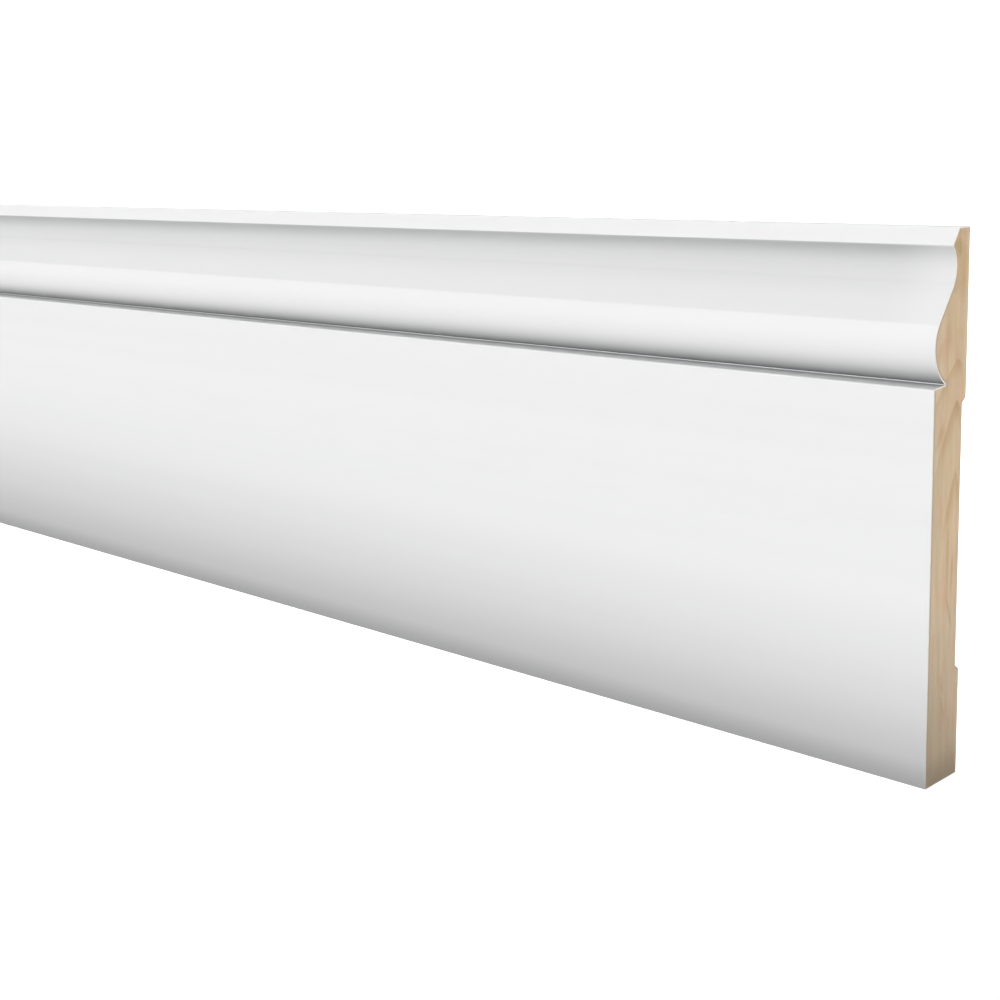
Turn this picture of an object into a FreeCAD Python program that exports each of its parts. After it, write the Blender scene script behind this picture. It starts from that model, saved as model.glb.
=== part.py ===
import FreeCAD, Part
import os
from math import acos, atan2, cos, hypot, sin, sqrt

import Sketcher

# A length of skirting board: one piece of pine, moulded along its top edge and ploughed along its back.
# It lies on its back. X runs along the length, Y points from the floor edge to the moulded top edge,
# and Z points from the wall to the face. The origin is under the middle of the board, in the plane of
# the wall lands. Lengths are in millimetres. A size that ends in _drop is measured down from the top
# edge, and one that ends in _depth is measured in from the face or the back.

NODE = "skirting_board"
SIZES = (
    ("board_length", 2438.4, "stock length, 8 feet"),
    ("board_height", 133.35, "floor edge to top edge, 5 1/4 inches"),
    ("board_thickness", 14.2875, "wall lands to flat face, 9/16 inch"),
    ("top_land", 4.7625, "flat strip along the top edge, 3/16 inch"),
    ("lip_thickness", 7.4, "wall lands to the tip of the lip over the cove"),
    ("cove_radius", 7.9375, "hollow under the lip, 5/16 inch"),
    ("cove_floor", 5.7, "wood left behind the deepest line of the cove"),
    ("cove_drop", 8.95, "top edge to the deepest line of the cove"),
    ("bead_radius", 10.3, "round under the cove, whose crown is level with the flat face"),
    ("bead_drop", 26.6, "top edge to the crown of the bead"),
    ("crease_depth", 1.4, "face to the crease, where the slope from the cove meets the bead"),
    ("quirk_depth", 4.8, "face to the bottom of the quirk, where the bead ends"),
    ("quirk_width", 0.2, "flat bottom of the quirk"),
    ("ledge_fall", 0.38, "slope of the ledge that leads from the quirk out to the flat face"),
    ("plough_drop", 39.7, "top edge to the plough"),
    ("plough_depth", 1.5875, "back to the floor of the plough, 1/16 inch"),
    ("plough_shoulder", 1.0, "slope of each side of the plough"),
    ("lower_land", 27.2, "wall land under the plough"),
    ("arris_radius", 0.4, "easing of the long outside corners, 1/64 inch"),
)
EDGE_PARTS = ("whole", "start", "end", "centre")
SAME_PLACE = 1e-4


class Section:
    """A sketch across the board, whose x is the board's Y and whose y is its Z. Its edges have names,
    and a place in it is an edge and a part of it, such as "cove.start"."""

    def __init__(self, body, name):
        planes = [plane for plane in body.Origin.OriginFeatures if plane.Role == "YZ_Plane"]
        self.sketch = body.newObject("Sketcher::SketchObject", name)
        self.sketch.AttachmentSupport = (planes[0], "")
        self.sketch.MapMode = "FlatFace"
        self.edges = {}

    def line(self, name, start, end):
        edge = Part.LineSegment(FreeCAD.Vector(*start), FreeCAD.Vector(*end))
        self.edges[name] = self.sketch.addGeometry(edge)

    def arc(self, name, centre, start, end):
        """An arc that turns anticlockwise from start to end."""
        radius = hypot(start[0] - centre[0], start[1] - centre[1])
        first, last = (atan2(at[1] - centre[1], at[0] - centre[0]) for at in (start, end))
        circle = Part.Circle(FreeCAD.Vector(*centre), FreeCAD.Vector(0, 0, 1), radius)
        self.edges[name] = self.sketch.addGeometry(Part.ArcOfCircle(circle, first, last))

    def numbers(self, places):
        """The numbers that a constraint takes for some places, edges or the sketch's origin."""
        found = []
        for where in places:
            name, _, part = where.partition(".")
            if name == "origin":
                found += [-1, 1]
            elif part:
                found += [self.edges[name], EDGE_PARTS.index(part)]
            else:
                found += [self.edges[name]]
        return found

    def constrain(self, kind, *places):
        self.sketch.addConstraint(Sketcher.Constraint(kind, *self.numbers(places)))

    def dimension(self, name, kind, places, formula):
        """A named dimension that follows a formula of the sheet's sizes."""
        present = float(self.sketch.evalExpression(formula))
        constraint = Sketcher.Constraint(kind, *self.numbers(places), present)
        self.sketch.renameConstraint(self.sketch.addConstraint(constraint), name)
        self.sketch.setExpression(f"Constraints.{name}", formula)

    def at(self, where):
        """Where a place of the solved sketch is, as the board's Y and Z."""
        solved = self.sketch.getPoint(*self.numbers([where]))
        return solved.x, solved.y


def half_chord(radius, rise):
    """How far a circle reaches to each side, at a given distance from its centre."""
    return sqrt(radius**2 - rise**2)


def touching_point(centre, radius, outside):
    """Where a line from a point outside a circle touches it, on the side that is reached anticlockwise."""
    across, up = outside[0] - centre[0], outside[1] - centre[1]
    angle = atan2(up, across) + acos(radius / hypot(across, up))
    return centre[0] + radius * cos(angle), centre[1] + radius * sin(angle)


def add_sheet(doc):
    """The driving sizes, one to a row: name, value and what it measures."""
    sheet = doc.addObject("Spreadsheet::Sheet", "Sizes")
    for row, (name, value, meaning) in enumerate(SIZES, start=1):
        sheet.set(f"A{row}", name)
        sheet.set(f"B{row}", str(value))
        sheet.set(f"C{row}", meaning)
        sheet.setAlias(f"B{row}", name)
    doc.recompute()


def draw_outline(section, size):
    """The moulded section without its plough: lines and two arcs, drawn near their final places."""
    top, floor, face = size["board_height"] / 2, -size["board_height"] / 2, size["board_thickness"]
    cove_centre = (top - size["cove_drop"], size["cove_floor"] + size["cove_radius"])
    bead_centre = (top - size["bead_drop"], face - size["bead_radius"])
    lip_reach = half_chord(size["cove_radius"], cove_centre[1] - size["lip_thickness"])
    crease_reach = half_chord(size["bead_radius"], size["bead_radius"] - size["crease_depth"])
    quirk_reach = half_chord(size["bead_radius"], size["bead_radius"] - size["quirk_depth"])
    lip = (cove_centre[0] + lip_reach, size["lip_thickness"])
    crease = (bead_centre[0] + crease_reach, face - size["crease_depth"])
    slope_foot = touching_point(cove_centre, size["cove_radius"], crease)
    bead_end = (bead_centre[0] - quirk_reach, face - size["quirk_depth"])
    ledge_foot = (bead_end[0] - size["quirk_width"], bead_end[1])
    flat_arris = (ledge_foot[0] - size["ledge_fall"], face)

    section.line("back", (floor, 0), (top, 0))
    section.line("top_edge", (top, 0), (top, size["top_land"]))
    section.line("chamfer", (top, size["top_land"]), lip)
    section.arc("cove", cove_centre, slope_foot, lip)
    section.line("slope", slope_foot, crease)
    section.arc("bead", bead_centre, crease, bead_end)
    section.line("quirk", bead_end, ledge_foot)
    section.line("ledge", ledge_foot, flat_arris)
    section.line("flat_face", flat_arris, (floor, face))
    section.line("floor_edge", (floor, face), (floor, 0))


def constrain_outline(section):
    """Fixes the outline: its corners, its tangent, and a dimension for each size in it."""
    corners = (
        ("back.end", "top_edge.start"),
        ("top_edge.end", "chamfer.start"),
        ("chamfer.end", "cove.end"),
        ("slope.end", "bead.start"),
        ("bead.end", "quirk.start"),
        ("quirk.end", "ledge.start"),
        ("ledge.end", "flat_face.start"),
        ("flat_face.end", "floor_edge.start"),
        ("floor_edge.end", "back.start"),
    )
    for corner in corners:
        section.constrain("Coincident", *corner)
    section.constrain("Tangent", "cove.start", "slope.start")
    for edge in ("back", "quirk", "flat_face"):
        section.constrain("Horizontal", edge)
    for edge in ("top_edge", "floor_edge"):
        section.constrain("Vertical", edge)
    section.constrain("Symmetric", "back.start", "back.end", "origin")

    across, up = "DistanceX", "DistanceY"
    section.dimension("height", across, ("back.start", "back.end"), "Sizes.board_height")
    section.dimension("thickness", up, ("origin", "flat_face.start"), "Sizes.board_thickness")
    section.dimension("top_land", up, ("top_edge.start", "top_edge.end"), "Sizes.top_land")
    section.dimension("lip", up, ("origin", "chamfer.end"), "Sizes.lip_thickness")
    section.dimension("cove_radius", "Radius", ("cove",), "Sizes.cove_radius")
    section.dimension("cove_rise", up, ("origin", "cove.centre"), "Sizes.cove_floor + Sizes.cove_radius")
    section.dimension("cove_drop", across, ("cove.centre", "back.end"), "Sizes.cove_drop")
    section.dimension("bead_radius", "Radius", ("bead",), "Sizes.bead_radius")
    section.dimension("bead_crown", up, ("bead.centre", "flat_face.start"), "Sizes.bead_radius")
    section.dimension("bead_drop", across, ("bead.centre", "back.end"), "Sizes.bead_drop")
    section.dimension("crease", up, ("slope.end", "flat_face.start"), "Sizes.crease_depth")
    section.dimension("quirk_depth", up, ("quirk.start", "flat_face.start"), "Sizes.quirk_depth")
    section.dimension("quirk_width", across, ("quirk.end", "quirk.start"), "Sizes.quirk_width")
    section.dimension("ledge_fall", across, ("ledge.end", "ledge.start"), "Sizes.ledge_fall")


def draw_plough(section, size):
    """The shallow trough in the back, between the wall lands: a flat floor with two sloping sides."""
    upper_mouth = size["board_height"] / 2 - size["plough_drop"]
    lower_mouth = size["lower_land"] - size["board_height"] / 2
    depth, shoulder = size["plough_depth"], size["plough_shoulder"]
    section.line("mouth", (lower_mouth, 0), (upper_mouth, 0))
    section.line("upper_side", (upper_mouth, 0), (upper_mouth - shoulder, depth))
    section.line("bottom", (upper_mouth - shoulder, depth), (lower_mouth + shoulder, depth))
    section.line("lower_side", (lower_mouth + shoulder, depth), (lower_mouth, 0))


def constrain_plough(section):
    """Fixes the plough by the two lands that it leaves."""
    around = ("mouth", "upper_side", "bottom", "lower_side")
    for edge, following in zip(around, around[1:] + around[:1]):
        section.constrain("Coincident", f"{edge}.end", f"{following}.start")
    section.constrain("Horizontal", "mouth")
    section.constrain("Horizontal", "bottom")
    section.constrain("Horizontal", "origin", "mouth.start")

    across, up = "DistanceX", "DistanceY"
    upper_mouth = "Sizes.board_height / 2 - Sizes.plough_drop"
    lower_mouth = "Sizes.board_height / 2 - Sizes.lower_land"
    section.dimension("upper_mouth", across, ("origin", "mouth.end"), upper_mouth)
    section.dimension("lower_mouth", across, ("mouth.start", "origin"), lower_mouth)
    section.dimension("depth", up, ("origin", "bottom.start"), "Sizes.plough_depth")
    shoulder = "Sizes.plough_shoulder"
    section.dimension("upper_shoulder", across, ("upper_side.end", "upper_side.start"), shoulder)
    section.dimension("lower_shoulder", across, ("lower_side.end", "lower_side.start"), shoulder)


def long_edges(shape, places):
    """The names of the edges that run along the board through the given places across it."""
    names = []
    for number, edge in enumerate(shape.Edges, start=1):
        ends = [vertex.Point for vertex in edge.Vertexes]
        for y, z in places:
            if all(hypot(end.y - y, end.z - z) < SAME_PLACE for end in ends):
                names.append(f"Edge{number}")
    if len(names) != len(places):
        raise RuntimeError(f"{len(places)} long corners are eased, but {len(names)} were found")
    return names


def add_board(doc, size):
    """The board as it is made: moulded, ploughed along the back, then eased at its long corners."""
    body = doc.addObject("PartDesign::Body", "Board")
    body.Label = NODE
    body.Placement = FreeCAD.Placement(FreeCAD.Vector(0, 0, 0), FreeCAD.Rotation())

    outline = Section(body, "MouldedSection")
    draw_outline(outline, size)
    constrain_outline(outline)
    stock = body.newObject("PartDesign::Pad", "MouldedLength")
    stock.Profile = outline.sketch
    stock.SideType = "Symmetric"
    stock.setExpression("Length", "Sizes.board_length")
    doc.recompute()

    trough = Section(body, "PloughSection")
    draw_plough(trough, size)
    constrain_plough(trough)
    plough = body.newObject("PartDesign::Pocket", "BackPlough")
    plough.Profile = trough.sketch
    plough.SideType = "Symmetric"
    plough.Type = "ThroughAll"
    doc.recompute()
    if plough.Shape.Volume >= stock.Shape.Volume:
        raise RuntimeError("the plough cuts nothing out of the back")

    front = ("top_edge.end", "chamfer.end", "ledge.end", "floor_edge.start")
    corners = [outline.at(where) for where in front + ("back.start", "back.end")]
    corners += [trough.at(where) for where in ("mouth.start", "mouth.end")]
    easing = body.newObject("PartDesign::Fillet", "EasedCorners")
    easing.Base = (plough, long_edges(plough.Shape, corners))
    easing.setExpression("Radius", "Sizes.arris_radius")
    body.Tip = easing
    doc.recompute()
    return body


def check(doc, body):
    """Stops if an object of the document failed, or the board isn't one sound solid."""
    for item in doc.Objects:
        if "Invalid" in item.State or "Error" in item.State:
            raise RuntimeError(f"{item.Name} didn't build: {item.State}")
        if item.TypeId == "Sketcher::SketchObject" and not item.FullyConstrained:
            raise RuntimeError(f"{item.Name} isn't fully constrained")
    shape = body.Shape
    if shape.isNull() or not shape.isValid() or len(shape.Solids) != 1:
        raise RuntimeError(f"{body.Label} isn't one valid solid")


def main():
    doc = FreeCAD.newDocument("skirting")
    add_sheet(doc)
    size = {name: float(doc.Sizes.get(name)) for name, _, _ in SIZES}
    body = add_board(doc, size)
    check(doc, body)
    os.makedirs("parts", exist_ok=True)
    body.Shape.exportStep(f"parts/{body.Label}.step")
    box = body.Shape.BoundBox
    print(f"{body.Label}: {box.XLength:.2f} x {box.YLength:.2f} x {box.ZLength:.2f} mm")
    print(f"volume {body.Shape.Volume:.0f} mm3, {len(body.Shape.Faces)} faces")


main()
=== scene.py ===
import math

import bmesh
import bpy
from mathutils import Matrix, Vector


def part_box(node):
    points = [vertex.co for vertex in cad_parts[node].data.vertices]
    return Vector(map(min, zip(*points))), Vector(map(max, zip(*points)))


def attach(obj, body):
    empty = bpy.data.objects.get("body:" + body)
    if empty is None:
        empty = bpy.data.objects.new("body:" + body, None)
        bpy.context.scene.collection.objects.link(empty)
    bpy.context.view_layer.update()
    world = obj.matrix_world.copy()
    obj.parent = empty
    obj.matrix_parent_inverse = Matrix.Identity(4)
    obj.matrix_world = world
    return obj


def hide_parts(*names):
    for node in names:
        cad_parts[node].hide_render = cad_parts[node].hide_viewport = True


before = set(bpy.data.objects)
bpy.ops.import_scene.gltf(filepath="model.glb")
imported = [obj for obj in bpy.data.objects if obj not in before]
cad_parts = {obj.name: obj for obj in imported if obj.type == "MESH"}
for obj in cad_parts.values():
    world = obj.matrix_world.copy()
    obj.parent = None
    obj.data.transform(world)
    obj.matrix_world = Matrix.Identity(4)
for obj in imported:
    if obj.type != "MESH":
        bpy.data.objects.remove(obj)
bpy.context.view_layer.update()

# The looks of one length of skirting board: a pine board, moulded along its top edge, ploughed
# along its back and primed white. It lies on its back. X runs along it, Y points from the floor
# edge to the moulded top edge, and Z from the wall to the face. Lengths are in metres where nothing
# else is said, and a drop is measured down from the top edge.

bl_info = {
    "name": "Skirting board length",
    "version": (1, 0, 0),
    "blender": (4, 5, 0),
    "location": "View3D > Sidebar > Skirting",
    "description": "Builds a primed skirting board with a moulded top edge, and its stage",
    "category": "Object",
}

NODE = "skirting_board"
MM = 0.001
BOARD_LOW, BOARD_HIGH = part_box(NODE)
BOARD_SPAN = BOARD_HIGH - BOARD_LOW
SAME_PLACE = 0.02 * MM
PRIMER, BARE_BACK, SAWN_END, CUT_FILM = range(4)
END_ON = 0.9
BACKWARD = -0.3
FAR = 1000.0

# The board's edges that a place is measured from: the axis across the board, where the edge is on
# it, and which way a millimetre goes from there.
EDGES = {
    "top": (1, BOARD_HIGH.y, -MM),
    "floor": (1, BOARD_LOW.y, MM),
    "face": (2, BOARD_HIGH.z, -MM),
    "back": (2, 0.0, MM),
}

# Growth rings, in millimetres across the section: where the arches are flat, how soft they are
# there and at their tips, how fast they grow pointed, and how far apart they are on the ring's own
# scale.
HEART_PLACE = (BOARD_HIGH.y / MM - 24.0, 4.0)
HEART_SOFTNESS = 100.0
TIP_SOFTNESS = 0.09
ARCH_SLOPE = 0.072
RING_STEP = 0.67
FIRST_TIP = -2.867

# How deep inside the film's outline the soaked wood starts and ends, and how softly its runs meet.
SOAKED_DEPTH = (0.5 * MM, 1.15 * MM)
SOAKED_BLEND = 0.8 * MM
SOAKED_IN_FRONT = ("face", 9.5, 8.8)

# Soft marks in the end grain, in millimetres and degrees: the drop and height of a mark's middle,
# half its length and width, how far it leans from upright, and how strong it is.
PITCH_MARK = (4.4, 4.6, 3.3, 1.9, 12.0, 0.95)
SOAKED_MARK = (13.0, 5.8, 3.0, 2.4, 0.0, 0.35)
LATE_MARKS = (
    (9.5, 3.2, 10.5, 5.5, 0.0, 0.56),
    (3.9, 6.6, 2.1, 1.4, 0.0, 0.9),
    (13.0, 5.8, 3.0, 2.4, 0.0, 0.58),
    (21.5, 6.8, 12.0, 5.0, 0.0, 0.22),
    (47.6, 11.2, 4.6, 1.9, -30.0, 0.5),
    (76.0, 6.5, 13.5, 0.9, 0.0, 0.5),
    (81.3, 4.4, 7.0, 0.8, -3.0, 0.45),
    (90.8, 5.3, 6.5, 0.8, 17.0, 0.5),
    (108.0, 8.4, 4.5, 2.0, 21.0, 0.35),
    (113.7, 7.7, 7.0, 0.8, 20.0, 0.4),
    (119.0, 4.1, 3.5, 0.7, 7.0, 0.4),
)

# How tones fade across the board: the edge that a fade is measured from, where it starts and stops
# in millimetres, and the values there. These are for the rings, and for the sawn end's painted
# shade towards its foot, where the light fades, with a darkening along its top; the fades of each
# are multiplied.
RING_FADES = (
    ("top", 16.0, 36.0, 0.0, 1.0),
    ("top", 62.0, 78.0, 1.0, 0.0),
    ("back", 0.8, 4.0, 0.1, 1.0),
    ("back", 10.5, 6.0, 0.7, 1.0),
)
END_SHADE_FADES = (
    ("floor", 52.0, 30.0, 1.0, 0.93),
    ("floor", 10.0, 0.5, 1.0, 0.74),
    ("top", 2.6, 0.5, 1.0, 0.87),
)

# Where dust clings to the sawn end, as fades, and as one fade in metres from its stepped back.
DUSTY = (
    ("floor", 48.0, 36.0, 0.0, 0.18),
    ("face", 5.0, 0.5, 0.0, 0.25),
    ("top", 1.3, 0.3, 0.0, 0.4),
)
DUSTY_BACK = (0.9 * MM, 0.15 * MM, 0.0, 0.5)

# Where shade is painted into the primer as grey, as fades from the moulded top edge down to the
# floor edge, which the function for the painted shade masks puts together.
PAINTED_SHADE_FADES = {
    "on_chamfer": ("top", 0.2, 0.7, 0.0, 0.126),
    "above_lip": ("top", 4.1, 3.9),
    "under_lip": ("top", 3.9, 4.1),
    "lip_root": ("top", 9.5, 4.1, 0.0, 0.5),
    "below_lip": ("top", 17.0, 8.5, 0.0, 0.42),
    "line_start": ("top", 11.9, 12.5, 0.0, 0.08),
    "line_stop": ("top", 13.5, 12.7),
    "on_slope": ("top", 21.7, 21.1, 0.0, 0.24),
    "by_crease": ("top", 26.0, 18.5, 0.0, 0.135),
    "below_crown": ("top", 26.0, 27.0),
    "on_bead": ("top", 35.31, 35.27),
    "bead_foot": ("face", 0.1, 4.0, 0.0, 0.77),
    "quirk_root": ("face", 3.5, 4.6, 0.0, 0.2),
    "quirk_bottom": ("face", 4.6, 4.75, 0.0, 0.45),
    "on_ledge": ("top", 35.48, 35.54),
    "ledge": ("face", 1.5, 4.3, 0.22, 0.69),
    "below_face": ("face", 0.0, 0.14),
    "above_flat": ("top", 38.0, 37.5),
    "above_back": ("face", 6.0, 5.5),
    "by_floor": ("floor", 8.0, 0.0),
}

# How far from the board's ends the cove's painted shade starts to grow weaker, as less light is
# shut out of the cove there, and how much of it is left at the ends.
COVE_ENDS = 18.0 * MM
LEFT_AT_ENDS = 0.52

# How far the primer's tone goes towards the grey of the painted shade at the most.
QUIRK_PAINTED_SHADE = 1.0
COVE_PAINTED_SHADE = 0.38
FLOOR_EDGE_PAINTED_SHADE = 0.28

FLOOR_GAP = 0.02 * MM
FLOOR_GLOW = 0.95

# The key lamp: which way it stands, how far off, how large it is, how wide its beam spreads, and
# where across the board its beam ends. Then the low lamps, and the camera's own axes.
KEY_TOWARD = (0.52, 0.285, 1.0)
KEY_DISTANCE = 1.2
KEY_SIZE = (3.2, 0.9)
KEY_SPREAD = math.radians(10.2)
BEAM_EDGE = -0.0655
LOW_LAMP_AWAY = 0.35
LOW_LAMP_HEIGHT = 10 * MM
LOW_LAMP_SPREAD = math.radians(12)
SEEN_BY = ("Is Camera Ray", "Is Glossy Ray", "Is Transmission Ray")
SENSOR_WIDTH = 36
NEAREST_SEEN = 10 * MM
CAMERA_AXES = ((0.7087, -0.0367, -0.7045), (-0.1348, 0.9732, -0.1863), (0.6925, 0.227, 0.6848))


def length_prop(name, meaning, value):
    """A length that the sidebar shows with its unit, from a value in metres."""
    return bpy.props.FloatProperty(
        name=name, description=meaning, default=value, min=0, precision=5, unit="LENGTH"
    )


def colour_prop(name, meaning, value):
    """A colour that the sidebar shows as a swatch."""
    return bpy.props.FloatVectorProperty(
        name=name, description=meaning, default=value, size=3, min=0, max=1, subtype="COLOR"
    )


class SKIRTING_PG_sizes(bpy.types.PropertyGroup):
    """The sizes of the board's section, and how finely its curves are divided."""

    length: length_prop("Length", "Stock length of the board", BOARD_SPAN.x)
    height: length_prop("Height", "Floor edge to top edge", BOARD_SPAN.y)
    thickness: length_prop("Thickness", "Wall lands to flat face", BOARD_SPAN.z)
    top_land: length_prop("Top land", "Flat strip along the top edge", 4.7625 * MM)
    lip_thickness: length_prop("Lip thickness", "Wall lands to the tip of the lip", 7.4 * MM)
    cove_radius: length_prop("Cove radius", "Radius of the hollow under the lip", 7.9375 * MM)
    cove_floor: length_prop("Cove floor", "Wood left behind the cove's deepest line", 5.7 * MM)
    cove_drop: length_prop("Cove drop", "Top edge to the cove's deepest line", 8.95 * MM)
    bead_radius: length_prop("Bead radius", "Radius of the round under the cove", 10.3 * MM)
    bead_drop: length_prop("Bead drop", "Top edge to the crown of the bead", 26.6 * MM)
    crease_depth: length_prop("Crease depth", "Face to where the slope meets the bead", 1.4 * MM)
    quirk_depth: length_prop("Quirk depth", "Face to the bottom of the quirk", 4.8 * MM)
    quirk_width: length_prop("Quirk width", "Flat bottom of the quirk", 0.2 * MM)
    ledge_fall: length_prop("Ledge fall", "Slope of the ledge below the quirk", 0.38 * MM)
    plough_drop: length_prop("Plough drop", "Top edge to the plough in the back", 39.7 * MM)
    plough_depth: length_prop("Plough depth", "Depth of the plough", 1.5875 * MM)
    plough_shoulder: length_prop("Plough shoulder", "Width of each sloping side", 1.0 * MM)
    lower_land: length_prop("Lower land", "Wall land under the plough", 27.2 * MM)
    arris: length_prop("Arris easing", "Easing of the long outside corners", 0.4 * MM)
    film: length_prop("Primer film", "Thickness of the primer seen at a sawn end", 0.3 * MM)
    curve_steps: bpy.props.IntProperty(
        name="Curve steps", description="Divisions of the cove and of the bead", default=28, min=6
    )
    bays: bpy.props.IntProperty(
        name="Bays", description="Divisions along the board", default=24, min=1
    )


class SKIRTING_PG_colours(bpy.types.PropertyGroup):
    """The colours of the primer and of the bare pine."""

    primer: colour_prop("Primer", "White satin primer", (0.82, 0.825, 0.822))
    # The grey that the primer is mixed towards where shade is painted into it.
    painted_shade_grey: colour_prop("Painted shade grey", "Grey for painted shade in hollows", (0.19, 0.195, 0.2))
    primer_edge: colour_prop("Primer edge", "The film cut by the saw", (0.79, 0.725, 0.645))
    earlywood: colour_prop("Earlywood", "Pale wood between the growth rings", (0.54, 0.41, 0.27))
    latewood: colour_prop("Latewood", "Darker line of a growth ring", (0.42, 0.28, 0.143))
    stain: colour_prop("Heartwood blush", "Pink cast in parts of the wood", (0.54, 0.35, 0.225))
    soaked: colour_prop("Soaked wood", "Wood that the primer has soaked into", (0.41, 0.335, 0.25))
    dust: colour_prop("Dust", "Pale dust on parts of a sawn end", (0.54, 0.48, 0.39))
    olive: colour_prop("Olive cast", "Greenish cast in parts of the wood", (0.53, 0.42, 0.265))
    pitch: colour_prop("Pitch streak", "Olive resin mark under the lip", (0.395, 0.29, 0.132))


class SKIRTING_PG_stage(bpy.types.PropertyGroup):
    """The floor, the lamps and the camera."""

    floor: colour_prop("Floor", "Plain pale floor", (0.87, 0.87, 0.87))
    floor_span: length_prop("Floor span", "Side of the square floor", 60.0)
    key_power: bpy.props.FloatProperty(
        name="Key power", description="Power of the gridded soft box", default=10.3, subtype="POWER"
    )
    front_power: bpy.props.FloatProperty(
        name="Front power", description="Power of the low strip in front of the floor edge",
        default=0.21, subtype="POWER"
    )
    left_power: bpy.props.FloatProperty(
        name="Left power", description="Power of the low strip beyond the left end", default=0.0125,
        subtype="POWER"
    )
    fill: bpy.props.FloatProperty(
        name="Fill", description="Strength of the light from all round", default=0.08, min=0
    )
    lens: bpy.props.FloatProperty(
        name="Lens", description="Focal length of the camera, in millimetres", default=59.73
    )
    camera_place: bpy.props.FloatVectorProperty(
        name="Camera", description="Where the camera stands", default=(1.4137, 0.0956, 0.3465),
        subtype="TRANSLATION"
    )


# The board's mesh


def half_chord(radius, rise):
    """How far a circle reaches to each side, at a given distance from its centre."""
    return math.sqrt(radius**2 - rise**2)


def touching_point(centre, radius, outside):
    """Where a line from a point outside a circle touches it, on the side nearer the top edge."""
    away = outside - centre
    angle = math.atan2(away.y, away.x) + math.acos(radius / away.length)
    return centre + radius * Vector((math.cos(angle), math.sin(angle)))


def section_steps(size):
    """The section as a walk round the board from the back of its top land: straight runs to a
    place, and turns about a centre to a place. A place is the board's Y and Z."""
    top, floor, face = size.height / 2, -size.height / 2, size.thickness
    cove = Vector((top - size.cove_drop, size.cove_floor + size.cove_radius))
    bead = Vector((top - size.bead_drop, face - size.bead_radius))
    lip_reach = half_chord(size.cove_radius, cove.y - size.lip_thickness)
    crease_reach = half_chord(size.bead_radius, size.bead_radius - size.crease_depth)
    quirk_reach = half_chord(size.bead_radius, size.bead_radius - size.quirk_depth)
    crease = Vector((bead.x + crease_reach, face - size.crease_depth))
    bead_end = Vector((bead.x - quirk_reach, face - size.quirk_depth))
    ledge_foot = bead_end - Vector((size.quirk_width, 0))
    upper_mouth, lower_mouth = top - size.plough_drop, floor + size.lower_land
    shoulder, depth = size.plough_shoulder, size.plough_depth
    return {
        "top_land": (None, Vector((top, size.top_land))),
        "chamfer": (None, Vector((cove.x + lip_reach, size.lip_thickness))),
        "cove": (cove, touching_point(cove, size.cove_radius, crease)),
        "slope": (None, crease),
        "bead": (bead, bead_end),
        "quirk": (None, ledge_foot),
        "ledge": (None, Vector((ledge_foot.x - size.ledge_fall, face))),
        "flat_face": (None, Vector((floor, face))),
        "floor_edge": (None, Vector((floor, 0))),
        "lower_land": (None, Vector((lower_mouth, 0))),
        "lower_shoulder": (None, Vector((lower_mouth + shoulder, depth))),
        "plough": (None, Vector((upper_mouth - shoulder, depth))),
        "upper_shoulder": (None, Vector((upper_mouth, 0))),
        "upper_land": (None, Vector((top, 0))),
    }


def across(point):
    """A point's place in the board's section: its Y and Z."""
    return Vector((point.y, point.z))


def pick(board, kind, test):
    """In edit mode, selects only the edges or faces that pass a test."""
    bpy.ops.mesh.select_mode(type="EDGE" if kind == "edges" else "FACE")
    bpy.ops.mesh.select_all(action="DESELECT")
    mesh = bmesh.from_edit_mesh(board.data)
    chosen = [item for item in getattr(mesh, kind) if test(item)]
    if not chosen:
        raise RuntimeError(f"no {kind} of {board.name} are where they are looked for")
    for item in chosen:
        item.select_set(True)
    mesh.select_flush_mode()
    bmesh.update_edit_mesh(board.data)


def long_edge_at(place):
    """A test for the edges that run along the board through a place of its section."""

    def test(edge):
        return all((across(vert.co) - place).length < SAME_PLACE for vert in edge.verts)

    return test


def turn_between(centre, start, end):
    """The angle that spins one place of the section into another, about X, from Z to Y."""
    first, last = start - centre, end - centre
    return math.atan2(first.y * last.x - first.x * last.y, first.dot(last))


def sweep_section(board, size, steps):
    """Draws the front edge of the top land round the whole section, back to where it began."""
    here = Vector((size.height / 2, size.top_land))
    pick(board, "edges", long_edge_at(here))
    for centre, there in list(steps.values())[1:]:
        if centre is None:
            shift = (0, there.x - here.x, there.y - here.y)
            bpy.ops.mesh.extrude_region_move(TRANSFORM_OT_translate={"value": shift})
        else:
            bpy.ops.mesh.spin(
                steps=size.curve_steps,
                angle=turn_between(centre, here, there),
                center=(0, centre.x, centre.y),
                axis=(1, 0, 0),
            )
        pick(board, "edges", long_edge_at(there))
        here = there
    bpy.ops.mesh.select_all(action="SELECT")
    bpy.ops.mesh.remove_doubles(threshold=SAME_PLACE / 2)


def ease_corners(board, size, steps):
    """Rounds the long outside corners a little, as the moulder's knives leave them."""
    rounded = (
        "top_land", "chamfer", "ledge", "flat_face", "floor_edge", "lower_land",
        "upper_shoulder", "upper_land",
    )
    for name in rounded:
        pick(board, "edges", long_edge_at(steps[name][1]))
        bpy.ops.mesh.bevel(offset=size.arris, segments=5, profile=0.5, affect="EDGES")


def close_ends(board, size):
    """Fills the two sawn ends, and insets a rim in each as thick as the primer film."""
    for end in (-1, 1):
        place = end * size.length / 2
        pick(board, "edges", lambda edge: all(
            abs(vert.co.x - place) < SAME_PLACE for vert in edge.verts
        ))
        bpy.ops.mesh.edge_face_add()
    bpy.ops.mesh.select_all(action="SELECT")
    bpy.ops.mesh.normals_make_consistent(inside=False)
    pick(board, "faces", lambda face: abs(face.normal.x) > END_ON)
    bpy.ops.mesh.inset(thickness=size.film, use_even_offset=True)


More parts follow.
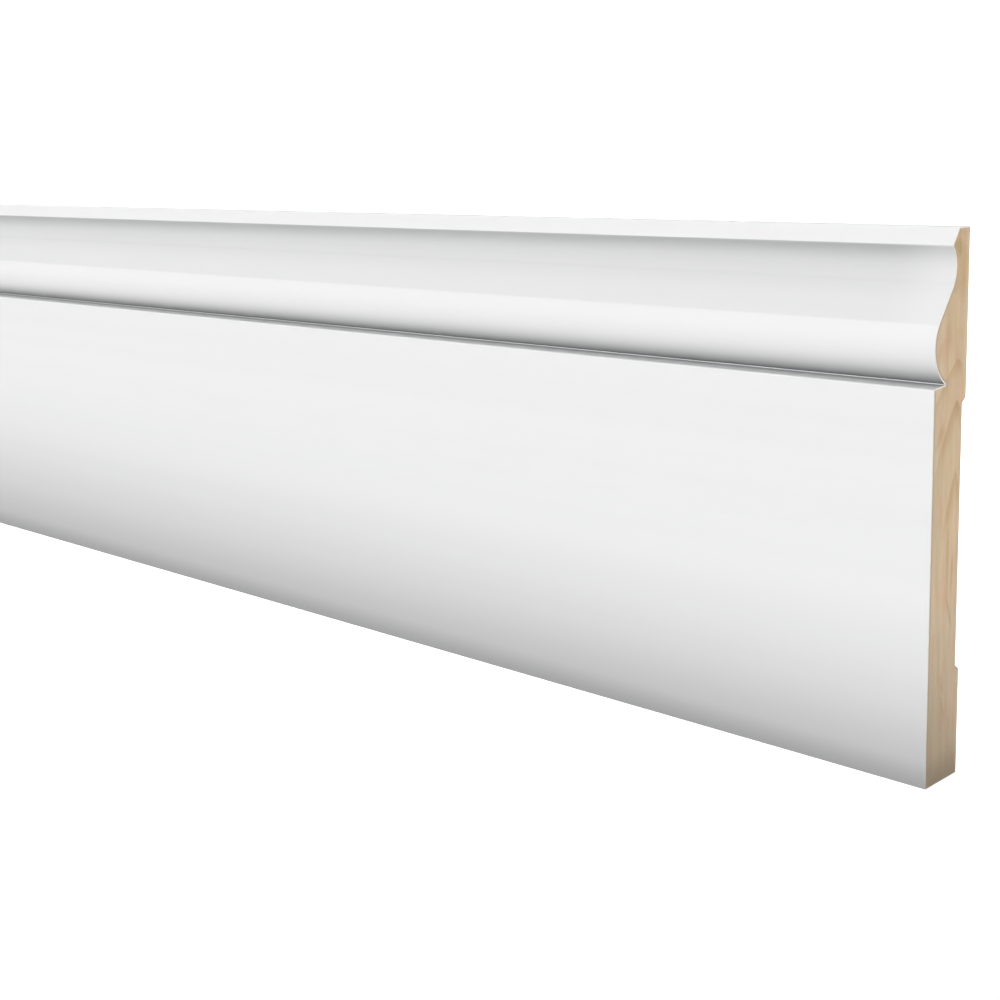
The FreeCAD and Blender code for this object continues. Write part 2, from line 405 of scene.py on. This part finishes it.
def mark_crease(board, steps):
    """Keeps the crease between the slope and the bead a crease, where its angle alone wouldn't."""
    pick(board, "edges", long_edge_at(steps["slope"][1]))
    bpy.ops.mesh.mark_sharp()


def model_board(size):
    """The board, modelled from a strip as long as the stock: its top land."""
    middle = (0, size.height / 2, size.top_land / 2)
    bpy.ops.object.select_all(action="DESELECT")
    bpy.ops.mesh.primitive_grid_add(
        x_subdivisions=size.bays, y_subdivisions=1, size=1,
        location=middle, rotation=(math.pi / 2, 0, 0)
    )
    board = bpy.context.object
    board.name = board.data.name = "primed_board"
    bpy.ops.object.transform_apply(location=True, rotation=True, scale=True)
    steps = section_steps(size)
    bpy.ops.object.mode_set(mode="EDIT")
    bpy.ops.mesh.select_all(action="SELECT")
    bpy.ops.transform.resize(value=(size.length, 1, size.top_land), center_override=middle)
    sweep_section(board, size, steps)
    ease_corners(board, size, steps)
    mark_crease(board, steps)
    close_ends(board, size)
    dress_faces(board)
    bpy.ops.object.mode_set(mode="OBJECT")
    bpy.ops.object.shade_smooth_by_angle(angle=math.radians(30), keep_sharp_edges=True)
    bpy.ops.object.modifier_add(type="WEIGHTED_NORMAL")
    board.modifiers[-1].keep_sharp = True
    bpy.ops.object.modifier_apply(modifier=board.modifiers[-1].name)
    return board


def dress_faces(board):
    """Gives each face its material: primer in front and on the edges, bare wood behind and at the
    ends."""
    pick(board, "faces", lambda face: True)
    mesh = bmesh.from_edit_mesh(board.data)
    for face in mesh.faces:
        if abs(face.normal.x) > END_ON:
            face.material_index = SAWN_END
        elif face.normal.z < BACKWARD:
            face.material_index = BARE_BACK
        else:
            face.material_index = PRIMER
    for face in mesh.faces:
        beside = {near.material_index for edge in face.edges for near in edge.link_faces}
        if face.material_index == SAWN_END and len(face.verts) == 4 and PRIMER in beside:
            face.material_index = CUT_FILM
    bmesh.update_edit_mesh(board.data)
    bpy.ops.mesh.select_all(action="DESELECT")


# The finishes


def add_node(tree, kind, sockets=None, **settings):
    """A node of a tree, with the values or links that its sockets take."""
    node = tree.nodes.new(kind)
    for name, value in settings.items():
        setattr(node, name, value)
    for name, value in (sockets or {}).items():
        socket = node.inputs[name]
        if isinstance(value, bpy.types.NodeSocket):
            tree.links.new(value, socket)
        else:
            socket.default_value = value
    return node


def math_node(tree, operation, *values):
    """The result of a sum on one, two or three values or links."""
    node = add_node(tree, "ShaderNodeMath", dict(enumerate(values)), operation=operation)
    return node.outputs[0]


def combined(tree, operation, first, *others):
    """One value from several, by the same sum for each in turn."""
    for other in others:
        first = math_node(tree, operation, first, other)
    return first


def between(tree, value, low, high, to_low=0.0, to_high=1.0):
    """A value taken smoothly from one range to another, and held at its ends."""
    sockets = {
        "Value": value, "From Min": low, "From Max": high, "To Min": to_low, "To Max": to_high
    }
    node = add_node(tree, "ShaderNodeMapRange", sockets, interpolation_type="SMOOTHSTEP")
    return node.outputs[0]


def split(tree, place):
    """The three coordinates of a place."""
    return add_node(tree, "ShaderNodeSeparateXYZ", {0: place}).outputs


def fade(tree, parts, edge, start, stop, first=0.0, last=1.0):
    """A value that goes smoothly from first to last between two distances from an edge of the
    board, in millimetres."""
    axis, place, step = EDGES[edge]
    return between(tree, parts[axis], place + step * start, place + step * stop, first, last)


def faded(tree, place, fades):
    """The product of several fades."""
    parts = split(tree, place)
    return combined(tree, "MULTIPLY", *(fade(tree, parts, *each) for each in fades))


def vector_node(tree, operation, *values):
    """The outputs of a sum on vectors."""
    node = add_node(tree, "ShaderNodeVectorMath", dict(enumerate(values)), operation=operation)
    return node.outputs


def mix_colour(tree, share, first, second):
    """A mix of two colours by a share."""
    node = add_node(tree, "ShaderNodeMix", data_type="RGBA")
    for place, value in ((0, share), (6, first), (7, second)):
        if isinstance(value, bpy.types.NodeSocket):
            tree.links.new(value, node.inputs[place])
        else:
            node.inputs[place].default_value = value if place == 0 else (*value, 1)
    return node.outputs[2]


def shaded(tree, colour, shade):
    """A colour made darker or lighter by a factor."""
    node = add_node(tree, "ShaderNodeVectorMath", {0: colour, "Scale": shade}, operation="SCALE")
    return node.outputs[0]


def new_group(name, inputs, output):
    """An empty node group with named inputs and one number as its output. An input is its name,
    kind and value."""
    tree = bpy.data.node_groups.new(name, "ShaderNodeTree")
    for socket, kind, value in inputs:
        made = tree.interface.new_socket(socket, in_out="INPUT", socket_type=kind)
        made.default_value = value
    tree.interface.new_socket(output, in_out="OUTPUT", socket_type="NodeSocketFloat")
    return tree, tree.nodes.new("NodeGroupInput"), tree.nodes.new("NodeGroupOutput")


def streak_group():
    """Fine streaks that run along the board or up its end: a tone from 0 to 1."""
    tree, given, made = new_group(
        "fine_streaks",
        (
            ("Vector", "NodeSocketVector", (0, 0, 0)),
            ("Per metre", "NodeSocketVector", (1, 1, 1)),
            ("Detail", "NodeSocketFloat", 3.0),
        ),
        "Tone",
    )
    stretched = add_node(
        tree, "ShaderNodeMapping", {"Vector": given.outputs[0], "Scale": given.outputs[1]}
    )
    noise = add_node(
        tree, "ShaderNodeTexNoise",
        {
            "Vector": stretched.outputs[0], "Scale": 1.0,
            "Detail": given.outputs[2], "Roughness": 0.55,
        },
    )
    tree.links.new(noise.outputs["Fac"], made.inputs[0])
    return tree


def ring_group():
    """Growth rings of flat sawn pine, as the end of the board shows them: arches that grow more
    pointed down the board, and that run along it as lines on the back."""
    tree, given, made = new_group(
        "growth_rings",
        (
            ("Vector", "NodeSocketVector", (0, 0, 0)),
            ("Step", "NodeSocketFloat", RING_STEP),
            ("Wander", "NodeSocketFloat", 0.2),
        ),
        "Latewood",
    )
    place = split(tree, given.outputs[0])
    drop = math_node(tree, "MULTIPLY_ADD", place[1], -1 / MM, HEART_PLACE[0])
    aside = math_node(tree, "MULTIPLY_ADD", place[2], 1 / MM, -HEART_PLACE[1])
    rounding = math_node(tree, "SQRT", math_node(tree, "MULTIPLY_ADD", drop, drop, HEART_SOFTNESS))
    depth = math_node(tree, "LOGARITHM", math_node(tree, "ADD", drop, rounding), math.e)
    width = math_node(tree, "SQRT", math_node(tree, "MULTIPLY_ADD", aside, aside, TIP_SOFTNESS))
    pointed = between(tree, drop, -2.0, 8.0, -0.35 * ARCH_SLOPE, -ARCH_SLOPE)
    arch = math_node(tree, "MULTIPLY_ADD", width, pointed, depth)
    drift = add_node(
        tree, "ShaderNodeMapping", {"Vector": given.outputs[0], "Scale": (1.3, 22.0, 90.0)}
    )
    noise = add_node(
        tree, "ShaderNodeTexNoise",
        {"Vector": drift.outputs[0], "Scale": 1.0, "Detail": 3.0, "Roughness": 0.5},
    )
    sway = math_node(tree, "SUBTRACT", noise.outputs["Fac"], 0.5)
    sway = math_node(tree, "MULTIPLY_ADD", sway, given.outputs[2], FIRST_TIP)
    phase = math_node(tree, "DIVIDE", math_node(tree, "ADD", arch, sway), given.outputs[1])
    part = math_node(tree, "FRACT", phase)
    fading = between(tree, part, 0.0, 0.62, 1.0, 0.0)
    rising = between(tree, part, 0.94, 1.0, 0.0, 1.0)
    late = math_node(tree, "MAXIMUM", math_node(tree, "POWER", fading, 1.6), rising)
    tree.links.new(late, made.inputs[0])
    return tree


def use_group(tree, group, sockets):
    """A node group placed in a material, with its own values."""
    return add_node(tree, "ShaderNodeGroup", sockets, node_tree=group)


def new_material(name):
    """An empty material with its shader, and the object's coordinates."""
    material = bpy.data.materials.new(name)
    material.use_nodes = True
    tree = material.node_tree
    tree.nodes.clear()
    shader = tree.nodes.new("ShaderNodeBsdfPrincipled")
    out = tree.nodes.new("ShaderNodeOutputMaterial")
    tree.links.new(shader.outputs[0], out.inputs[0])
    place = tree.nodes.new("ShaderNodeTexCoord").outputs["Object"]
    return material, tree, shader, place


def bumped(tree, shader, height, distance):
    """Feeds a height in metres of relief to a shader's normal."""
    bump = add_node(tree, "ShaderNodeBump", {"Height": height, "Distance": distance})
    tree.links.new(bump.outputs[0], shader.inputs["Normal"])


def painted_shade_masks(tree, place):
    """Painted shade on the primer in and around the quirk, in the cove and on the chamfer, and
    along
    the floor edge: three masks, from 0 where none is painted to 1."""
    parts = split(tree, place)
    at = {name: fade(tree, parts, *each) for name, each in PAINTED_SHADE_FADES.items()}
    from_middle = math_node(tree, "ABSOLUTE", parts[0])
    by_ends = between(
        tree, from_middle, BOARD_HIGH.x, BOARD_HIGH.x - COVE_ENDS, LEFT_AT_ENDS, 1.0
    )
    cove = combined(
        tree, "ADD", at["by_crease"], at["on_slope"], at["below_lip"], at["lip_root"]
    )
    cove = math_node(tree, "MULTIPLY_ADD", at["line_start"], at["line_stop"], cove)
    cove = combined(tree, "MULTIPLY", cove, by_ends, at["under_lip"])
    cove = math_node(tree, "MULTIPLY_ADD", at["on_chamfer"], at["above_lip"], cove)
    foot = math_node(tree, "ADD", at["bead_foot"], at["quirk_root"])
    foot = math_node(tree, "MULTIPLY", foot, at["on_bead"])
    ledge = math_node(tree, "ADD", at["ledge"], at["quirk_root"])
    ledge = combined(tree, "MULTIPLY", ledge, at["below_face"], at["on_ledge"])
    quirk = combined(tree, "MAXIMUM", foot, ledge, at["quirk_bottom"])
    limits = (at["below_crown"], at["above_flat"], at["above_back"])
    quirk = combined(tree, "MULTIPLY", quirk, *limits)
    return quirk, cove, at["by_floor"]


def primer_material(colours, streaks):
    """White satin primer, wiped on along the board: faint long streaks and a slight orange peel.
    Shade is painted into it as grey: much greyer down in the quirk, and a little greyer in the
    cove, on the chamfer and by the floor edge."""
    material, tree, shader, place = new_material("white_primer")
    wiped = use_group(tree, streaks, {"Vector": place, "Per metre": (2.2, 900, 900), "Detail": 2.0})
    broad = use_group(tree, streaks, {"Vector": place, "Per metre": (0.9, 120, 120), "Detail": 2.0})
    peel = add_node(
        tree, "ShaderNodeTexNoise",
        {"Vector": place, "Scale": 900.0, "Detail": 1.0, "Roughness": 0.4},
    )
    dark = tuple(channel * 0.985 for channel in colours.primer)
    tone = between(tree, broad.outputs[0], 0.3, 0.7)
    white = mix_colour(tree, tone, dark, colours.primer)
    # Painted shade: the primer mixed towards grey in the quirk, the cove, on the chamfer and by the
    # floor edge.
    quirk, cove, floor_edge_shade = painted_shade_masks(tree, place)
    for mask, most in ((cove, COVE_PAINTED_SHADE), (floor_edge_shade, FLOOR_EDGE_PAINTED_SHADE), (quirk, QUIRK_PAINTED_SHADE)):
        shade_share = math_node(tree, "MULTIPLY", mask, most)
        white = mix_colour(tree, shade_share, white, colours.painted_shade_grey)
    tree.links.new(white, shader.inputs["Base Color"])
    rough = math_node(tree, "MULTIPLY_ADD", wiped.outputs[0], 0.12, 0.52)
    rough = math_node(tree, "MULTIPLY_ADD", quirk, 0.35, rough)
    shader.inputs["Specular IOR Level"].default_value = 0.25
    tree.links.new(rough, shader.inputs["Roughness"])
    relief = math_node(tree, "MULTIPLY_ADD", peel.outputs["Fac"], 0.5, wiped.outputs[0])
    bumped(tree, shader, relief, 0.012 * MM)
    return material


def film_material(colours, streaks):
    """The primer film where the saw has cut through it."""
    material, tree, shader, place = new_material("cut_film")
    worn = use_group(tree, streaks, {"Vector": place, "Per metre": (300, 300, 300), "Detail": 2.0})
    pale = tuple(channel * 0.9 for channel in colours.primer_edge)
    tone = between(tree, worn.outputs[0], 0.35, 0.6)
    tree.links.new(mix_colour(tree, tone, pale, colours.primer_edge), shader.inputs["Base Color"])
    shader.inputs["Roughness"].default_value = 0.6
    return material


def grain_mark(tree, place, mark):
    """A soft oval mark in the end grain, as a mask. It runs on along the board."""
    drop, height, half_length, half_width, lean, strength = mark
    spot = add_node(
        tree, "ShaderNodeMapping",
        {
            "Vector": place,
            "Location": (0, BOARD_HIGH.y - drop * MM, height * MM),
            "Rotation": (math.radians(lean), 0, 0),
            "Scale": (FAR, half_length * MM, half_width * MM),
        },
        vector_type="TEXTURE",
    )
    away = vector_node(tree, "LENGTH", spot.outputs[0])["Value"]
    return between(tree, away, 0.3, 1.0, strength, 0.0)


def dust_mask(tree, place, size):
    """Where pale dust clings to the sawn end: low down, by the face, along the top and the back."""
    parts = split(tree, place)
    upper_mouth = BOARD_HIGH.y - size.plough_drop
    lower_mouth = BOARD_LOW.y + size.lower_land
    under = between(
        tree, parts[1], upper_mouth, upper_mouth - size.plough_shoulder, 0.0, size.plough_depth
    )
    over = between(tree, parts[1], lower_mouth, lower_mouth + size.plough_shoulder)
    from_back = math_node(tree, "SUBTRACT", parts[2], math_node(tree, "MULTIPLY", under, over))
    behind = between(tree, from_back, *DUSTY_BACK)
    return combined(tree, "MAXIMUM", behind, *(fade(tree, parts, *each) for each in DUSTY))


def soaked_rim(tree, place, size):
    """A thin line inside the primer film, where the primer has soaked into the end grain, as a
    mask."""
    parts = split(tree, place)
    across_board, height = parts[1], parts[2]
    steps, top = section_steps(size), size.height / 2
    cove, cove_end = steps["cove"]
    crease = steps["slope"][1]
    bead, bead_end = steps["bead"]
    outward = (crease - cove_end).orthogonal().normalized()
    outward *= math.copysign(1, outward.y)

    def from_centre(centre):
        spot = vector_node(tree, "SUBTRACT", place, (0, centre.x, centre.y))[0]
        flat = vector_node(tree, "MULTIPLY", spot, (0, 1, 1))[0]
        return vector_node(tree, "LENGTH", flat)["Value"]

    over_slope = vector_node(tree, "DOT_PRODUCT", place, (0, outward.x, outward.y))["Value"]
    in_cove = math_node(tree, "SUBTRACT", from_centre(cove), size.cove_radius)
    in_slope = math_node(tree, "SUBTRACT", outward.dot(crease), over_slope)
    in_bead = math_node(tree, "SUBTRACT", size.bead_radius, from_centre(bead))
    in_face = math_node(tree, "SUBTRACT", size.thickness, height)
    depths = (
        (in_cove, top, cove_end.x),
        (in_slope, cove_end.x, crease.x),
        (in_bead, crease.x, bead_end.x),
        (in_face, steps["ledge"][1].x, -top),
    )
    rim = 0.0
    for depth, upper, lower in depths:
        line = between(tree, depth, SOAKED_DEPTH[1], SOAKED_DEPTH[0])
        below = between(tree, across_board, upper, upper - SOAKED_BLEND)
        above = between(tree, across_board, lower - SOAKED_BLEND, lower)
        line = combined(tree, "MULTIPLY", line, below, above)
        rim = math_node(tree, "MAXIMUM", rim, line)
    return math_node(tree, "MULTIPLY", rim, fade(tree, parts, *SOAKED_IN_FRONT))


def end_material(colours, streaks, rings, size):
    """The sawn end: soft arches of the growth rings, fine upright streaks and the saw's marks."""
    material, tree, shader, place = new_material("sawn_pine_end")
    ring = use_group(tree, rings, {"Vector": place, "Step": RING_STEP, "Wander": 0.08})
    fibres = use_group(tree, streaks, {"Vector": place, "Per metre": (1, 45, 620), "Detail": 4.0})
    clouds = use_group(tree, streaks, {"Vector": place, "Per metre": (1, 110, 260), "Detail": 2.0})
    pores = use_group(tree, streaks, {"Vector": place, "Per metre": (1, 3200, 5200), "Detail": 2.0})
    waxing = use_group(tree, streaks, {"Vector": place, "Per metre": (1, 70, 190), "Detail": 1.0})
    clear = between(tree, waxing.outputs[0], 0.35, 0.65, 0.65, 1.0)
    late = combined(tree, "MULTIPLY", ring.outputs[0], clear, faded(tree, place, RING_FADES))
    late = combined(tree, "MAXIMUM", late, *(grain_mark(tree, place, mark) for mark in LATE_MARKS))
    blush = between(tree, clouds.outputs[0], 0.47, 0.66, 0.0, 0.6)
    wood = mix_colour(tree, blush, colours.earlywood, colours.stain)
    olive = between(tree, clouds.outputs[0], 0.52, 0.33, 0.0, 0.6)
    wood = mix_colour(tree, olive, wood, colours.olive)
    wood = mix_colour(tree, late, wood, colours.latewood)
    wood = mix_colour(tree, grain_mark(tree, place, PITCH_MARK), wood, colours.pitch)
    grain = between(tree, fibres.outputs[0], 0.25, 0.75, 0.91, 1.07)
    specks = between(tree, pores.outputs[0], 0.3, 0.7, 0.96, 1.03)
    # The last factor is painted shade: the sawn end darker towards its foot, where the light fades,
    # and darker along its top.
    shade = combined(tree, "MULTIPLY", grain, specks, faded(tree, place, END_SHADE_FADES))
    wood = mix_colour(tree, dust_mask(tree, place, size), wood, colours.dust)
    wood = shaded(tree, wood, shade)
    patch = grain_mark(tree, place, SOAKED_MARK)
    soaked = math_node(tree, "MAXIMUM", soaked_rim(tree, place, size), patch)
    wood = mix_colour(tree, soaked, wood, colours.soaked)
    tree.links.new(wood, shader.inputs["Base Color"])
    shader.inputs["Roughness"].default_value = 0.8
    height = math_node(tree, "MULTIPLY_ADD", pores.outputs[0], 0.5, fibres.outputs[0])
    bumped(tree, shader, height, 0.03 * MM)
    return material


def back_material(colours, streaks, rings):
    """Planed bare pine: long grain lines, fine fibres, faint planer ripples and stray primer at
    the edges."""
    material, tree, shader, place = new_material("bare_pine_back")
    ring = use_group(tree, rings, {"Vector": place, "Step": RING_STEP / 3, "Wander": 0.5})
    clouds = use_group(tree, streaks, {"Vector": place, "Per metre": (2.2, 30, 30), "Detail": 2.0})
    fibres = use_group(
        tree, streaks, {"Vector": place, "Per metre": (9, 1500, 1500), "Detail": 4.0}
    )
    late = math_node(tree, "MULTIPLY", ring.outputs[0], 0.8)
    wood = mix_colour(tree, late, colours.earlywood, colours.latewood)
    blush = between(tree, clouds.outputs[0], 0.45, 0.75, 0.0, 0.4)
    wood = mix_colour(tree, blush, wood, colours.stain)
    wood = shaded(tree, wood, between(tree, fibres.outputs[0], 0.25, 0.75, 0.93, 1.05))
    spread = add_node(
        tree, "ShaderNodeTexNoise",
        {"Vector": place, "Scale": 160.0, "Detail": 4.0, "Roughness": 0.6},
    )
    from_middle = math_node(tree, "ABSOLUTE", split(tree, place)[1])
    inward = math_node(tree, "SUBTRACT", BOARD_HIGH.y, from_middle)
    edge = math_node(tree, "MULTIPLY_ADD", spread.outputs["Fac"], -3.2 * MM, inward)
    mist = between(tree, edge, -1.4 * MM, -0.4 * MM, 0.85, 0.0)
    wood = mix_colour(tree, mist, wood, colours.primer)
    tree.links.new(wood, shader.inputs["Base Color"])
    shader.inputs["Roughness"].default_value = 0.72
    ripple = add_node(
        tree, "ShaderNodeTexWave",
        {"Vector": place, "Scale": 31.0, "Distortion": 0.6, "Detail": 1.0, "Detail Scale": 2.0},
        wave_type="BANDS", bands_direction="X",
    )
    height = math_node(tree, "MULTIPLY_ADD", ripple.outputs["Fac"], 0.35, fibres.outputs[0])
    bumped(tree, shader, height, 0.03 * MM)
    return material


# The stage


def white_to_camera(tree):
    """One for the rays that see the background, and none for those that light the board."""
    path = tree.nodes.new("ShaderNodeLightPath")
    return combined(tree, "MAXIMUM", *(path.outputs[kind] for kind in SEEN_BY))


def lay_floor(stage):
    """The plain pale floor under the board."""
    bpy.ops.object.select_all(action="DESELECT")
    bpy.ops.mesh.primitive_plane_add(size=stage.floor_span, location=(0, 0, -FLOOR_GAP))
    floor = bpy.context.object
    floor.name = floor.data.name = "floor"
    bpy.ops.object.transform_apply(location=True)
    material, tree, shader, _ = new_material("pale_floor")
    shader.inputs["Base Color"].default_value = (*stage.floor, 1)
    shader.inputs["Roughness"].default_value = 0.9
    shader.inputs["Specular IOR Level"].default_value = 0.0
    seen = white_to_camera(tree)
    glow = math_node(tree, "MULTIPLY", seen, FLOOR_GLOW)
    shader.inputs["Emission Color"].default_value = (1, 1, 1, 1)
    tree.links.new(glow, shader.inputs["Emission Strength"])
    floor.data.materials.append(material)


def light_room(scene, stage):
    """A dim even light from all round, and the white that is seen behind the board."""
    world = bpy.data.worlds.new("studio")
    scene.world = world
    world.use_nodes = True
    tree = world.node_tree
    tree.nodes.clear()
    room = add_node(tree, "ShaderNodeBackground", {"Color": (1, 1, 1, 1), "Strength": stage.fill})
    white = add_node(tree, "ShaderNodeBackground", {"Color": (1, 1, 1, 1), "Strength": 1.0})
    mixed = add_node(
        tree, "ShaderNodeMixShader",
        {0: white_to_camera(tree), 1: room.outputs[0], 2: white.outputs[0]},
    )
    out = tree.nodes.new("ShaderNodeOutputWorld")
    tree.links.new(mixed.outputs[0], out.inputs[0])


def hang_key(stage):
    """A long soft box with a grid. Its beam ends along the board's floor edge, so that the light
    fades there."""
    toward = Vector(KEY_TOWARD).normalized()
    upward = Vector((0, toward.z, -toward.y)).normalized()
    along = upward.cross(toward)
    edge = upward.dot(Vector((0, BEAM_EDGE, BOARD_SPAN.z)))
    place = toward * KEY_DISTANCE + upward * (edge + KEY_SIZE[1] / 2)
    turn = Matrix((along, upward, toward)).transposed().to_euler()
    bpy.ops.object.light_add(type="AREA", location=place, rotation=turn)
    key = bpy.context.object
    key.name = key.data.name = "key_soft_box"
    key.data.shape = "RECTANGLE"
    key.data.size, key.data.size_y = KEY_SIZE
    key.data.spread = KEY_SPREAD
    key.data.energy = stage.key_power
    key.visible_camera = False


def stand_low_lamp(name, place, heading, length, power):
    """A low strip lamp on the floor, below the level of the face, so that it lights only upright
    faces."""
    bpy.ops.object.light_add(type="AREA", location=place, rotation=(math.pi / 2, 0, heading))
    lamp = bpy.context.object
    lamp.name = lamp.data.name = name
    lamp.data.shape = "RECTANGLE"
    lamp.data.size, lamp.data.size_y = length, LOW_LAMP_HEIGHT
    lamp.data.spread = LOW_LAMP_SPREAD
    lamp.data.energy = power
    lamp.visible_camera = False


def stand_low_lamps(stage):
    """One low lamp in front of the floor edge and one beyond the left end, which the key doesn't
    reach."""
    rise = BOARD_SPAN.z / 2
    front = (0, BOARD_LOW.y - LOW_LAMP_AWAY, rise)
    stand_low_lamp("front_strip", front, 0, BOARD_SPAN.x, stage.front_power)
    left = (BOARD_LOW.x - LOW_LAMP_AWAY, 0, rise)
    stand_low_lamp("left_strip", left, -math.pi / 2, BOARD_SPAN.y, stage.left_power)


def set_camera(scene, stage):
    """The camera at the photograph's angle, with no shift and no depth of field."""
    axes = [Vector(axis) for axis in CAMERA_AXES]
    turn = Matrix(axes).transposed().to_euler()
    bpy.ops.object.camera_add(location=stage.camera_place, rotation=turn)
    camera = bpy.context.object
    camera.name = camera.data.name = "camera"
    camera.data.sensor_width = SENSOR_WIDTH
    camera.data.lens = stage.lens
    camera.data.clip_start = NEAREST_SEEN
    scene.camera = camera


class SKIRTING_OT_board(bpy.types.Operator):
    """Model the moulded board and give it its primer and bare wood"""

    bl_idname = "skirting.board"
    bl_label = "Moulded board"
    bl_options = {"REGISTER", "UNDO"}

    def execute(self, context):
        colours = context.scene.skirting_colours
        board = model_board(context.scene.skirting_sizes)
        streaks, rings = streak_group(), ring_group()
        for material in (
            primer_material(colours, streaks),
            back_material(colours, streaks, rings),
            end_material(colours, streaks, rings, context.scene.skirting_sizes),
            film_material(colours, streaks),
        ):
            board.data.materials.append(material)
        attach(board, "root")
        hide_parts(NODE)
        return {"FINISHED"}


class SKIRTING_OT_stage(bpy.types.Operator):
    """Lay the floor, hang the lamps and set the camera"""

    bl_idname = "skirting.stage"
    bl_label = "Stage"
    bl_options = {"REGISTER", "UNDO"}

    def execute(self, context):
        stage = context.scene.skirting_stage
        context.scene.view_settings.view_transform = "Standard"
        lay_floor(stage)
        light_room(context.scene, stage)
        hang_key(stage)
        stand_low_lamps(stage)
        set_camera(context.scene, stage)
        return {"FINISHED"}


class SKIRTING_PT_sidebar(bpy.types.Panel):
    """The sizes, the colours and the steps that build the board"""

    bl_label = "Skirting board"
    bl_idname = "SKIRTING_PT_sidebar"
    bl_space_type = "VIEW_3D"
    bl_region_type = "UI"
    bl_category = "Skirting"

    def draw(self, context):
        for group in (
            context.scene.skirting_sizes,
            context.scene.skirting_colours,
            context.scene.skirting_stage,
        ):
            box = self.layout.box()
            for name in group.__annotations__:
                box.prop(group, name)
        for operator in (SKIRTING_OT_board, SKIRTING_OT_stage):
            self.layout.operator(operator.bl_idname)


CLASSES = (
    SKIRTING_PG_sizes,
    SKIRTING_PG_colours,
    SKIRTING_PG_stage,
    SKIRTING_OT_board,
    SKIRTING_OT_stage,
    SKIRTING_PT_sidebar,
)


def register():
    for kind in CLASSES:
        bpy.utils.register_class(kind)
    bpy.types.Scene.skirting_sizes = bpy.props.PointerProperty(type=SKIRTING_PG_sizes)
    bpy.types.Scene.skirting_colours = bpy.props.PointerProperty(type=SKIRTING_PG_colours)
    bpy.types.Scene.skirting_stage = bpy.props.PointerProperty(type=SKIRTING_PG_stage)


def unregister():
    del bpy.types.Scene.skirting_stage
    del bpy.types.Scene.skirting_colours
    del bpy.types.Scene.skirting_sizes
    for kind in reversed(CLASSES):
        bpy.utils.unregister_class(kind)


def main():
    register()
    bpy.ops.skirting.board()
    bpy.ops.skirting.stage()


if __name__ == "__main__":
    main()
